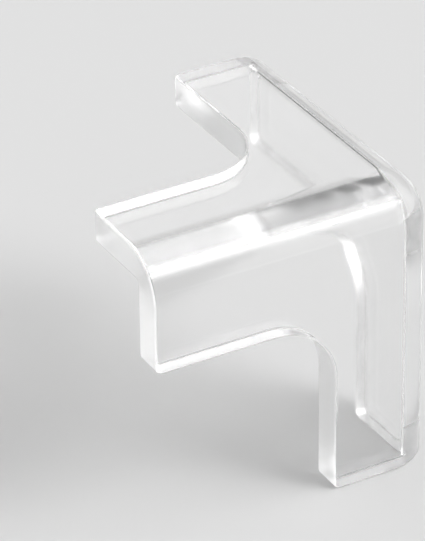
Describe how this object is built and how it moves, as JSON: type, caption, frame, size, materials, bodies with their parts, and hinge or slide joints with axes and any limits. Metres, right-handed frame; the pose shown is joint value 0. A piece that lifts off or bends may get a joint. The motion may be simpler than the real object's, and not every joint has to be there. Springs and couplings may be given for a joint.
{
  "type": "edge protector",
  "caption": "Clear moulded guard for a table corner: plates at right angles with their far quarters notched out, arms along the table edges, round outer edges and a ball-round corner.",
  "frame": {"origin": "the tip of the table's corner, where the three inside faces of the guard meet", "axes": "+Z is the normal of the table top; the table fills negative X, positive Y and negative Z, and the arms run along -X, +Y and -Z"},
  "size_m": [0.04, 0.04, 0.04],
  "materials": {
    "clear_plastic": "water-clear soft plastic with a gloss moulded surface"
  },
  "bodies": {
    "root": {"corner_guard": "clear_plastic"}
  },
  "joints": []
}
